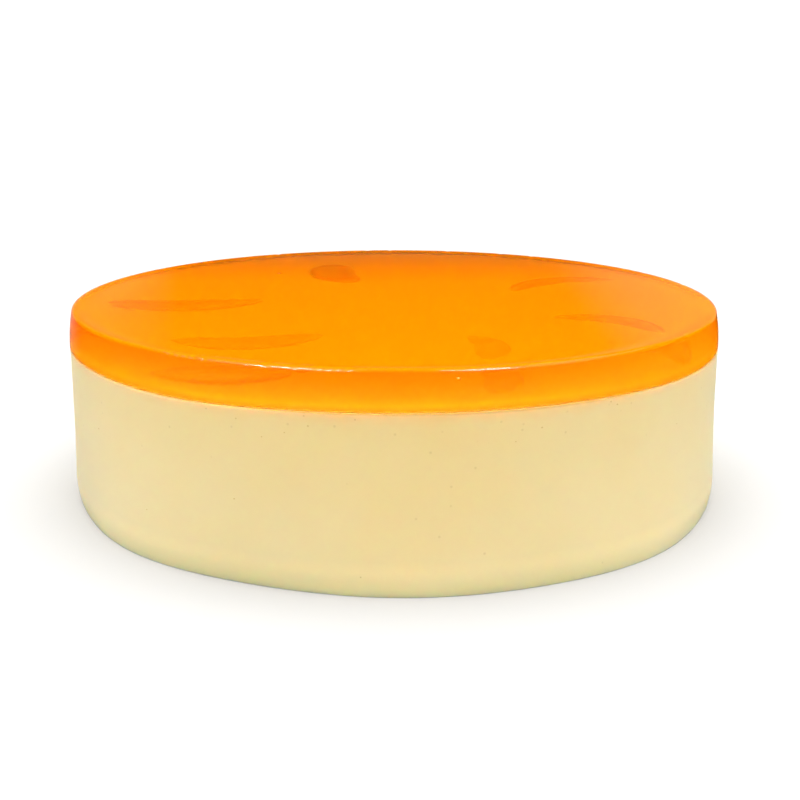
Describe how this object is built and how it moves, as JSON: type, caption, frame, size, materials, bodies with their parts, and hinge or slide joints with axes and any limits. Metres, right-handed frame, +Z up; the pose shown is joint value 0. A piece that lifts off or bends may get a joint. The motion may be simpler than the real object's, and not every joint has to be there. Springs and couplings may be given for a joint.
{
  "type": "layered jelly cake",
  "caption": "Whole round cake: a deep pale cream layer topped by a thin layer of clear orange jelly that holds sunk fruit slices",
  "frame": {"origin": "on the cake's axis, at its underside", "axes": "+Z up along the cake's axis; -Y is the front, from which the sunk slices are seen as pictured; +X to the right"},
  "size_m": [0.2358, 0.2351, 0.0679],
  "materials": {
    "cream": "satin",
    "jelly": "polished",
    "peach": "satin"
  },
  "bodies": {
    "root": {"cream_layer": "cream", "jelly_layer": "jelly"}
  },
  "joints": []
}
